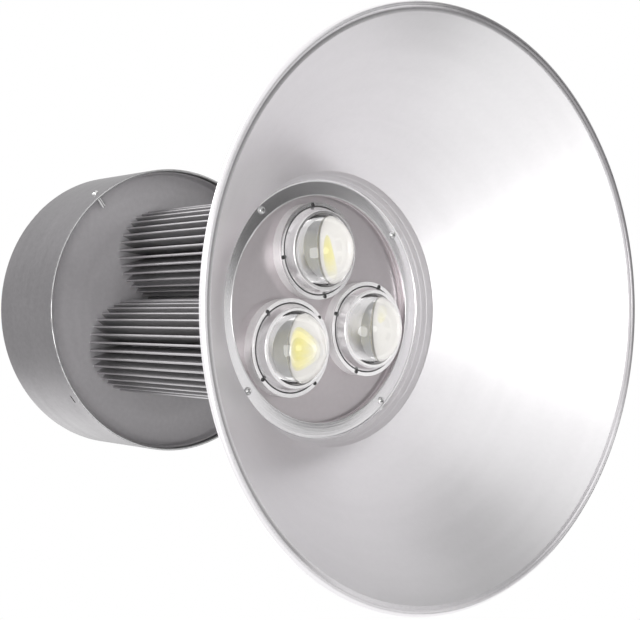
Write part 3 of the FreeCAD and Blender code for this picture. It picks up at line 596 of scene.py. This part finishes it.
light_middles = [middle("led_phosphor_%d" % n) for n in LENS_NUMBERS]
phosphors = [phosphor_coat("yellow_phosphor_%d" % n, spot, (0.93, 0.84, 0.15), (0.975, 0.96, 0.88))
             for n, spot in zip(LENS_NUMBERS, light_middles)]
for number, phosphor in zip(LENS_NUMBERS, phosphors):
    dress(solder_mask, "led_board_%d" % number)
    dress(phosphor, "led_phosphor_%d" % number)
    dress(silicone, "lens_gasket_%d" % number)
    dress(sleeve, "lead_%d" % number)
dress(rubber, "reflector_gasket", "lead_grommets", "gland_seal")
dress(nylon, "gland_body", "gland_cap", "gland_locknut")
dress(sleeve, "driver_lead", "splice_block")
print("glass of index", GLASS_INDEX)

# %% [markdown]
# ## The dish, spun fine
# The dish is most of what is seen, and its rim is a thin bright line, so it is spun again
# with a finer mesh. A section is a list of corners, each with its own radius. The sheet's
# other side is the same path, set off by the sheet's thickness.


# %% Section and spinning tools
def linked(name, mesh, sharp=None):
    """An object of a mesh, smooth up to the sharp angle in degrees, or flat without one."""
    if sharp is not None:
        mesh.shade_smooth()
        mesh.set_sharp_from_angle(angle=math.radians(sharp))
    made = bpy.data.objects.new(name, mesh)
    bpy.context.scene.collection.objects.link(made)
    return made


def object_of(shape, name, sharp=None):
    """Turns a bmesh with any mix of face directions into an object."""
    bmesh.ops.recalc_face_normals(shape, faces=shape.faces)
    mesh = bpy.data.meshes.new(name)
    shape.to_mesh(mesh)
    shape.free()
    return linked(name, mesh, sharp)


def rounded_section(corners, closed=True, arc_steps=6):
    """Points through (radius, z, corner radius) corners, with arcs at the round ones."""
    points = []
    last = len(corners) - 1
    for i, (r, z, bend) in enumerate(corners):
        here = Vector((r, z))
        if bend == 0 or (not closed and i in (0, last)):
            points.append(here)
            continue
        back = (Vector(corners[i - 1][:2]) - here).normalized()
        ahead = (Vector(corners[(i + 1) % len(corners)][:2]) - here).normalized()
        half = back.angle(ahead) / 2
        centre = here + (back + ahead).normalized() * (bend / math.sin(half))
        start = here + back * (bend / math.tan(half)) - centre
        end = here + ahead * (bend / math.tan(half)) - centre
        points += [centre + start.lerp(end, k / arc_steps).normalized() * bend
                   for k in range(arc_steps + 1)]
    return points


def set_off(path, thickness):
    """The same open path moved sideways, to the right of its direction."""
    moved = []
    for i, point in enumerate(path):
        before = (point - path[max(i - 1, 0)]) if i else (path[1] - point)
        after = (path[i + 1] - point) if i < len(path) - 1 else before
        before, after = before.normalized(), after.normalized()
        mean = (Vector((before.y, -before.x)) + Vector((after.y, -after.x))).normalized()
        moved.append(point + mean * (thickness / max(mean.dot(Vector((after.y, -after.x))), 0.5)))
    return moved


def spin(name, loops, centre=(0.0, 0.0), steps=256, sharp=30.0):
    """A mesh of closed sections (lists of (radius, z) points) spun about an upright axis."""
    shape = bmesh.new()
    for section in loops:
        poles = {i: shape.verts.new((centre[0], centre[1], p[1]))
                 for i, p in enumerate(section) if p[0] == 0}
        rings = []
        for k in range(steps):
            a = 2 * math.pi * k / steps
            ring = [poles[i] if i in poles else
                    shape.verts.new((centre[0] + p[0] * math.cos(a),
                                     centre[1] + p[0] * math.sin(a), p[1]))
                    for i, p in enumerate(section)]
            rings.append(ring)
        for k in range(steps):
            near, far = rings[k], rings[(k + 1) % steps]
            for i in range(len(section)):
                j = (i + 1) % len(section)
                corners = list(dict.fromkeys((near[i], near[j], far[j], far[i])))
                if len(corners) > 2:
                    shape.faces.new(corners)
    return object_of(shape, name, sharp)


def add_piece(piece, material, replaced=()):
    """Gives a made piece its finish and tells the frame where it belongs."""
    piece.data.materials.clear()
    piece.data.materials.append(material)
    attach(piece, "root")
    for node in replaced:
        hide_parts(node)
    print("%-18s %6d faces" % (piece.name, len(piece.data.polygons)))
    return piece


def circle_section(r, z, radius, points=20):
    """A round section about a point given as (radius, z)."""
    turns = [2 * math.pi * k / points for k in range(points)]
    return [Vector((r + radius * math.cos(t), z + radius * math.sin(t))) for t in turns]


# %% [markdown]
# The dish's path runs from the lip at the rim, up the cone, over the neck step with its two
# forming ridges, and in along the flange to its opening.

# %% Spin the dish
SHEET = 1.5 * MM
BEAD = 2.4 * MM
LIP = 2.6 * MM
NECK_RADIUS = 105.2 * MM
STEP_RADIUS = 99.5 * MM
STEP_HEIGHT = 14.7 * MM
FLANGE_OPENING = 87.7 * MM
RIDGE = 0.1 * MM             # height of the forming ridges on the neck step
RIDGE_SHARES = (0.36, 0.68)  # where they lie between the step's foot and its top
LIP_BEND = 1.0 * MM
NECK_BEND = 2.5 * MM
RIDGE_BEND = 0.3 * MM
STEP_BEND = 1.8 * MM
flange_front = flange_back - SHEET
neck_z = flange_front - STEP_HEIGHT


def dish_section():
    """Closed section of the sheet: its inner path, and back along its outer one."""
    lip_z = BEAD - SHEET / 2
    corners = [(rim_radius - BEAD, lip_z, 0), (rim_radius - 2 * BEAD - LIP, lip_z, LIP_BEND),
               (NECK_RADIUS, neck_z, NECK_BEND)]
    for share in RIDGE_SHARES:
        r = NECK_RADIUS + (STEP_RADIUS - NECK_RADIUS) * share
        z = neck_z + STEP_HEIGHT * share
        corners += [(r + RIDGE, z - RIDGE, RIDGE_BEND), (r - RIDGE, z + RIDGE, RIDGE_BEND)]
    corners += [(STEP_RADIUS, flange_front, STEP_BEND), (FLANGE_OPENING, flange_front, 0)]
    near = rounded_section(corners, closed=False)
    return near + set_off(near, SHEET)[::-1]


dish = spin("spun_reflector", [dish_section()], steps=360)
add_piece(dish, spun, ["reflector"])

# %% [markdown]
# The rim is rolled into a bead, with a flat lip inside it. Both are painted grey over
# one stretch of their round: a painted dark reflection. The tone is laid on by direction, measured
# from the axis, so it stays where it is from every side. It is painted reflection, not wear.


# %% Rolled rim and its lip
def painted_reflection_metal(name, bright, grey, heading, start, stop, fade):
    """Metal that goes from bright to grey along a heading, and outwards over a band of radii; the
    grey is a painted dark reflection.
    """
    material, tree, shader = blank_material(name)
    point = centred_point(tree, (0, 0, 0))
    clouds = use_group(tree, clouds_and_grain, point)
    along = tree.nodes.new("ShaderNodeVectorMath")
    along.operation = "DOT_PRODUCT"
    along.inputs[1].default_value = heading
    join(tree, point, along.inputs[0])
    wander = maths(tree, "MULTIPLY", maths(tree, "SUBTRACT", clouds["Clouds"], 0.5), 0.06)
    place = maths(tree, "ADD", along.outputs["Value"], wander)
    split = tree.nodes.new("ShaderNodeSeparateXYZ")
    join(tree, point, split.inputs[0])
    square_x = maths(tree, "MULTIPLY", split.outputs["X"], split.outputs["X"])
    square_y = maths(tree, "MULTIPLY", split.outputs["Y"], split.outputs["Y"])
    radius = maths(tree, "SQRT", maths(tree, "ADD", square_x, square_y))
    outward = spread(tree, radius, 0, 1, fade[0], fade[1])
    # painted dark reflection: grey along the heading and towards the outer radii
    painted_reflection_mask = maths(tree, "MULTIPLY", spread(tree, place, 0, 1, start, stop), outward)
    join(tree, blend_colours(tree, painted_reflection_mask, bright, grey), shader.inputs["Base Color"])
    join(tree, spread(tree, clouds["Grain"], 0.25, 0.35), shader.inputs["Roughness"])
    shader.inputs["Metallic"].default_value = 0.9
    bumped(tree, shader, clouds["Grain"], 0.1)
    return material


LIP_SKIN = 0.12 * MM
TIGHT = 0.01 * MM            # keeps the bead inside the solid one
lip_outer = rim_radius - 1.75 * BEAD
lip_inner = rim_radius - 2 * BEAD - LIP
lip_face = BEAD - SHEET / 2
# bead and lip both carry a painted dark reflection: grey over one stretch of their round
rim_metal = painted_reflection_metal("rolled_rim_metal", (0.90, 0.88, 0.90), (0.34, 0.33, 0.34),
                         (-0.8, 0.6, 0), 0.08, 0.15,
                         (rim_radius - 2.2 * BEAD, rim_radius - 2 * BEAD))
lip_skin = painted_reflection_metal("rim_lip_metal", (0.85, 0.83, 0.85), (0.40, 0.39, 0.40),
                        (0.7, 0.7, 0), -0.06, 0.0,
                        (lip_inner - 0.3 * MM, lip_inner + 1.8 * MM))
rolled_rim = spin("rolled_rim", [circle_section(rim_radius - BEAD, BEAD, BEAD - TIGHT, 24)],
                  steps=360)
add_piece(rolled_rim, rim_metal)
lip_section = [Vector((r, z)) for r, z in (
    (lip_inner, lip_face - LIP_SKIN), (lip_outer, lip_face - LIP_SKIN),
    (lip_outer, lip_face), (lip_inner, lip_face))]
rim_lip = spin("rim_lip", [lip_section], steps=360)
add_piece(rim_lip, lip_skin)

# %% [markdown]
# The flange's inner edge is hemmed, which leaves a thin bright line round the lens plate.

# %% Hem of the flange
HEM = 0.5 * MM
hem = spin("flange_hem", [circle_section(FLANGE_OPENING + HEM, flange_front, HEM, 12)], steps=256)
add_piece(hem, plated)

# %% [markdown]
# The drum's sheet is folded back at its mouth. The fold's curve catches real highlights, and it is
# given a paler metal than the drum's sheet: a painted highlight.

# %% Drum lip
LIP_BEAD = 0.95 * MM
lip = spin("drum_lip",
           [circle_section(drum_radius - LIP_BEAD, drum_mouth + LIP_BEAD * 0.6, LIP_BEAD, 12)],
           steps=256)
add_piece(lip, lip_metal)

# %% [markdown]
# ## Glasses
# A glass bends every line behind it, so its dome has to be smooth: each is spun again from
# its arc. It lets the lamps through to the white board, as real glass does.


# %% Spin the glasses
GLASS_RADIUS = 29.7 * MM
DOME_RADIUS = 28.0 * MM
GLASS_EDGE = 7.0 * MM


def glass_section(arc_steps=40):
    """Half the section of a lens: the dome's arc from its apex, the edge and the flat back."""
    apex, back = ends("lens_1")
    rim_z = back - GLASS_EDGE
    rise = rim_z - apex
    ball = (DOME_RADIUS ** 2 + rise ** 2) / (2 * rise)
    whole = math.asin(DOME_RADIUS / ball)
    turns = [whole * k / arc_steps for k in range(1, arc_steps + 1)]
    dome = [Vector((ball * math.sin(a), apex + ball * (1 - math.cos(a)))) for a in turns]
    edge = [Vector((GLASS_RADIUS, rim_z)), Vector((GLASS_RADIUS, back)), Vector((0, back))]
    return [Vector((0, apex)), *dome, *edge]


for number, centre in zip(LENS_NUMBERS, lens_centres):
    piece = spin("clear_glass_%d" % number, [glass_section()], centre=centre.xy, steps=128)
    piece.visible_shadow = False
    add_piece(piece, glass, ["lens_%d" % number])

# %% [markdown]
# ## Screws by the ring
# Every screw ring is one Geometry Nodes tree: it domes a head, sinks a cross into it, adds
# the shank, sets copies round a circle and, where wanted, sets that circle round a larger
# one. Each copy gets its own turn, because no fitter lines up the crosses.


# %% Geometry Nodes helpers
def geometry_tree(name, inputs):
    """A Geometry Nodes tree with named inputs: (name, kind, default)."""
    tree = bpy.data.node_groups.new(name, "GeometryNodeTree")
    identifiers = {}
    for label, kind, value in inputs:
        socket = tree.interface.new_socket(label, in_out="INPUT", socket_type="NodeSocket" + kind)
        if value is not None:
            socket.default_value = value
        identifiers[label] = socket.identifier
    tree.interface.new_socket("Geometry", in_out="OUTPUT", socket_type="NodeSocketGeometry")
    enter = tree.nodes.new("NodeGroupInput")
    leave = tree.nodes.new("NodeGroupOutput")
    return tree, enter.outputs, leave.inputs[0], identifiers


def geo(tree, kind, **inputs):
    """A node whose inputs are numbers, vectors or other nodes' outputs."""
    made = tree.nodes.new(kind)
    for name, value in inputs.items():
        target = made.inputs[name.replace("_", " ")]
        if isinstance(value, bpy.types.NodeSocket):
            tree.links.new(value, target)
        else:
            target.default_value = value
    return made


def vector_of(tree, x=0.0, y=0.0, z=0.0):
    return geo(tree, "ShaderNodeCombineXYZ", X=x, Y=y, Z=z).outputs[0]


def on_circle(tree, geometry, count, radius, first, spread_turn=None):
    """Copies of some geometry on a circle, each turned to its own angle."""
    ring = geo(tree, "GeometryNodePoints", Count=count)
    index = tree.nodes.new("GeometryNodeInputIndex").outputs[0]
    step = maths(tree, "DIVIDE", 2 * math.pi, count)
    angle = maths(tree, "ADD", maths(tree, "MULTIPLY", index, step), first)
    x = maths(tree, "MULTIPLY", maths(tree, "COSINE", angle), radius)
    y = maths(tree, "MULTIPLY", maths(tree, "SINE", angle), radius)
    tree.links.new(vector_of(tree, x, y), ring.inputs["Position"])
    if spread_turn is not None:
        chance = geo(tree, "FunctionNodeRandomValue", Min=0.0, Max=1.0, Seed=7)
        turn = maths(tree, "ADD", angle,
                     maths(tree, "MULTIPLY", chance.outputs["Value"], spread_turn))
    else:
        turn = angle
    placed = geo(tree, "GeometryNodeInstanceOnPoints", Points=ring.outputs[0], Instance=geometry)
    tree.links.new(vector_of(tree, z=turn), placed.inputs["Rotation"])
    return placed.outputs[0]


def finished(tree, geometry, material, leave):
    """Makes the copies real, gives them their material and sends them out of the tree."""
    solid = geo(tree, "GeometryNodeRealizeInstances", Geometry=geometry)
    made = geo(tree, "GeometryNodeSetMaterial", Geometry=solid.outputs[0], Material=material)
    tree.links.new(made.outputs[0], leave)


def grow(name, tree, identifiers, values, sharp=35.0):
    """Runs a tree once with some inputs and keeps the result as a plain mesh."""
    carrier = bpy.data.objects.new(name + "_carrier", bpy.data.meshes.new(name + "_empty"))
    bpy.context.scene.collection.objects.link(carrier)
    modifier = carrier.modifiers.new(tree.name, "NODES")
    modifier.node_group = tree
    for label, value in values.items():
        modifier[identifiers[label]] = value
    bpy.context.view_layer.update()
    evaluated = carrier.evaluated_get(bpy.context.evaluated_depsgraph_get())
    mesh = bpy.data.meshes.new_from_object(evaluated)
    mesh.name = name
    bpy.data.objects.remove(carrier, do_unlink=True)
    return linked(name, mesh, sharp)


# %% [markdown]
# The head is a flattened ball. Two bars cut its cross, and a block cuts away the half that
# would lie inside the seat.

# %% The screw tree
def screw_tree():
    tree, given, leave, names = geometry_tree("screw_rings", [
        ("Count", "Int", 4), ("Circle radius", "Float", 0.095), ("First angle", "Float", 0.0),
        ("Groups", "Int", 1), ("Group radius", "Float", 0.0), ("Group angle", "Float", 0.0),
        ("Head radius", "Float", 0.003), ("Head height", "Float", 0.002),
        ("Shank radius", "Float", 0.002), ("Shank length", "Float", 0.008),
        ("Tilt", "Vector", None), ("Seat", "Vector", None), ("Loose turn", "Float", 3.0),
        ("Material", "Material", None)])
    head_r, head_h = given["Head radius"], given["Head height"]
    ball = geo(tree, "GeometryNodeMeshUVSphere", Segments=32, Rings=20, Radius=1.0)
    dome = geo(tree, "GeometryNodeTransform", Geometry=ball.outputs[0])
    tree.links.new(vector_of(tree, head_r, head_r, head_h), dome.inputs["Scale"])
    wide = maths(tree, "MULTIPLY", head_r, 4.0)
    above = geo(tree, "GeometryNodeMeshCube",
                Size=vector_of(tree, wide, wide, maths(tree, "MULTIPLY", head_h, 4.0)))
    above = geo(tree, "GeometryNodeTransform", Geometry=above.outputs[0],
                Translation=vector_of(tree, z=maths(tree, "MULTIPLY", head_h, 2.0)))
    long, thin = maths(tree, "MULTIPLY", head_r, 1.15), maths(tree, "MULTIPLY", head_r, 0.26)
    cutters = [above.outputs[0]]
    for x, y in ((long, thin), (thin, long)):
        bar = geo(tree, "GeometryNodeMeshCube",
                  Size=vector_of(tree, x, y, maths(tree, "MULTIPLY", head_h, 1.1)))
        bar = geo(tree, "GeometryNodeTransform", Geometry=bar.outputs[0],
                  Translation=vector_of(tree, z=maths(tree, "MULTIPLY", head_h, -1.0)))
        cutters.append(bar.outputs[0])
    cut = tree.nodes.new("GeometryNodeMeshBoolean")
    cut.operation = "DIFFERENCE"
    tree.links.new(dome.outputs[0], cut.inputs["Mesh 1"])
    for cutter in cutters:
        tree.links.new(cutter, cut.inputs["Mesh 2"])
    shank = geo(tree, "GeometryNodeMeshCylinder", Vertices=24, Radius=given["Shank radius"],
                Depth=given["Shank length"])
    raised = geo(tree, "GeometryNodeTransform", Geometry=shank.outputs[0],
                 Translation=vector_of(tree, z=maths(tree, "MULTIPLY", given["Shank length"], 0.5)))
    whole = tree.nodes.new("GeometryNodeJoinGeometry")
    tree.links.new(cut.outputs[0], whole.inputs[0])
    tree.links.new(raised.outputs[0], whole.inputs[0])
    tilted = geo(tree, "GeometryNodeTransform", Geometry=whole.outputs[0], Rotation=given["Tilt"])
    ring = on_circle(tree, tilted.outputs[0], given["Count"], given["Circle radius"],
                     given["First angle"], given["Loose turn"])
    groups = on_circle(tree, ring, given["Groups"], given["Group radius"], given["Group angle"])
    seated = geo(tree, "GeometryNodeTransform", Geometry=groups, Translation=given["Seat"])
    finished(tree, seated.outputs[0], given["Material"], leave)
    return tree, names


screw_rings, screw_inputs = screw_tree()
print("tree", screw_rings.name, "with", len(screw_inputs), "inputs")

# %% [markdown]
# One tree makes all three sets. Only the numbers change: four screws round the flange, four
# round each lens, and two that go through the drum's wall.

# %% Set the screws
BEZEL_SHEET = 1.0 * MM
DRUM_SCREW_RISE = 14.4 * MM
bezel_flange = ends("lens_holder_1")[0] - BEZEL_SHEET
FLANGE_SCREWS = {"Count": 4, "Circle radius": 95.0 * MM, "First angle": math.radians(50.5),
                 "Head radius": 3.1 * MM, "Head height": 2.2 * MM, "Seat": (0, 0, flange_front)}
LENS_SCREWS = {"Count": 4, "Circle radius": 35.6 * MM, "Groups": 3, "Group radius": lens_circle,
               "Group angle": first_lens_angle, "Head radius": 1.6 * MM, "Head height": 1.2 * MM,
               "Shank radius": 1.2 * MM, "Shank length": 13.5 * MM, "Seat": (0, 0, bezel_flange)}
DRUM_SCREWS = {"Count": 2, "Circle radius": drum_radius, "First angle": math.radians(53.2),
               "Head radius": 3.1 * MM, "Head height": 2.2 * MM, "Shank length": 14.0 * MM,
               "Tilt": (0, -math.pi / 2, 0), "Loose turn": 0.0,
               "Seat": (0, 0, drum_mouth + DRUM_SCREW_RISE)}
for name, values, metal, slot, replaced in (
        ("cross_screws_flange", FLANGE_SCREWS, chromed, "steel", "reflector_screws"),
        ("cross_screws_lens", LENS_SCREWS, blackened, "dark_screw", "lens_screws"),
        ("cross_screws_drum", DRUM_SCREWS, plated, "steel", "drum_screws")):
    piece = grow(name, screw_rings, screw_inputs, {**values, "Material": metal})
    add_piece(piece, metal, [replaced])
dress(plated, "led_screws")

# %% [markdown]
# ## The light sources
# Under each glass lies a white board with a square of yellow phosphor in a low frame. The
# chips show through the phosphor as a faint grid, which is another small tree.


# %% Chip grid tree
def chip_tree():
    tree, given, leave, names = geometry_tree("chip_grid", [
        ("Per side", "Int", 7), ("Pitch", "Float", 0.0022), ("Chip width", "Float", 0.0011),
        ("Chip height", "Float", 0.00006), ("Groups", "Int", 3), ("Group radius", "Float", 0.0),
        ("Group angle", "Float", 0.0), ("Seat", "Vector", None), ("Material", "Material", None)])
    gaps = maths(tree, "SUBTRACT", given["Per side"], 1.0)
    side = maths(tree, "MULTIPLY", gaps, given["Pitch"])
    grid = geo(tree, "GeometryNodeMeshGrid", Size_X=side, Size_Y=side, Vertices_X=given["Per side"],
               Vertices_Y=given["Per side"])
    chip = geo(tree, "GeometryNodeMeshCube",
               Size=vector_of(tree, given["Chip width"], given["Chip width"], given["Chip height"]))
    sown = geo(tree, "GeometryNodeInstanceOnPoints", Points=grid.outputs[0],
               Instance=chip.outputs[0])
    groups = on_circle(tree, sown.outputs[0], given["Groups"], given["Group radius"],
                       given["Group angle"])
    seated = geo(tree, "GeometryNodeTransform", Geometry=groups, Translation=given["Seat"])
    finished(tree, seated.outputs[0], given["Material"], leave)
    return tree, names


chip_grid, chip_inputs = chip_tree()
chip_colour = soft_stuff("chips_under_phosphor", (0.94, 0.86, 0.21), (0.95, 0.88, 0.24), (0.3, 0.5))
phosphor_front = ends("led_phosphor_1")[0]
chips = grow("led_chips", chip_grid, chip_inputs, {
    "Group radius": lens_circle, "Group angle": first_lens_angle, "Seat": (0, 0, phosphor_front),
    "Material": chip_colour})
add_piece(chips, chip_colour)


# %% [markdown]
# The dam is a low wall with rounded corners, in the phosphor's own silicone. Round it lies
# a white sheet, which fills the rest of what the glass shows.

# %% Dams and sheets round the phosphor
DAM_WALLS = ((14.4, 6.0), (14.2, 5.8), (13.2, 5.0), (12.1, 4.2))    # half width, corner, in mm
DAM_RISE = 0.4 * MM
WINDOW = (14.5 * MM, 6.0 * MM)
SURROUND_RADIUS = 26.0 * MM
SURROUND_SHEET = 0.3 * MM


def rounded_square(half, corner, z, steps=5):
    """Corners of a square with rounded corners, as points at one height."""
    points = []
    for quarter in range(4):
        turn = Matrix.Rotation(quarter * math.pi / 2, 2)
        base = Vector((half - corner, half - corner))
        for k in range(steps + 1):
            a = k / steps * math.pi / 2
            points.append((*(turn @ (base + Vector((math.cos(a), math.sin(a))) * corner)), z))
    return points


def bridge(shape, loops):
    """Faces between each loop of vertices and the next."""
    for near, far in zip(loops, loops[1:]):
        for i in range(len(near)):
            j = (i + 1) % len(near)
            shape.faces.new((near[i], near[j], far[j], far[i]))


def source_frame(name, place, back, front):
    """A low dam: outer wall, flat front, and an inner wall that leans inwards."""
    shape = bmesh.new()
    loops = []
    for (half, corner), z in zip(DAM_WALLS, (back, front, front, back)):
        loops.append([shape.verts.new(place @ Vector(p))
                      for p in rounded_square(half * MM, corner * MM, z)])
    bridge(shape, loops)
    return object_of(shape, name, sharp=30)


def source_surround(name, place, front, back):
    """White sheet round the dam: a round plate with a square window."""
    shape = bmesh.new()
    window = rounded_square(*WINDOW, 0.0)
    loops = []
    for radius, z in ((None, back), (None, front), (SURROUND_RADIUS, front),
                      (SURROUND_RADIUS, back)):
        ring = []
        for x, y, _ in window:
            out = Vector((x, y)) if radius is None else Vector((x, y)).normalized() * radius
            ring.append(shape.verts.new(place @ Vector((out.x, out.y, z))))
        loops.append(ring)
    bridge(shape, loops + loops[:1])
    return object_of(shape, name)


board_front = ends("led_board_1")[0]
for number, centre, phosphor in zip(LENS_NUMBERS, lens_centres, phosphors):
    angle = first_lens_angle + (number - 1) * 2 * math.pi / 3
    place = Matrix.Translation((centre.x, centre.y, 0)) @ Matrix.Rotation(angle, 4, "Z")
    piece = source_frame("source_frame_%d" % number, place, board_front, phosphor_front - DAM_RISE)
    add_piece(piece, phosphor)
    piece = source_surround("source_surround_%d" % number, place, board_front - SURROUND_SHEET,
                            board_front)
    add_piece(piece, solder_mask)

# %% [markdown]
# A thin dark bead of sealant marks the foot of each bezel, in line with its screws.

# %% Sealant beads
BEZEL_FOOT = 33.8 * MM
SEALANT = 0.35 * MM
for number, centre in zip(LENS_NUMBERS, lens_centres):
    section = circle_section(BEZEL_FOOT + SEALANT, bezel_flange, SEALANT, 10)
    piece = spin("sealant_bead_%d" % number, [section], centre=centre.xy, steps=128)
    add_piece(piece, rubber)
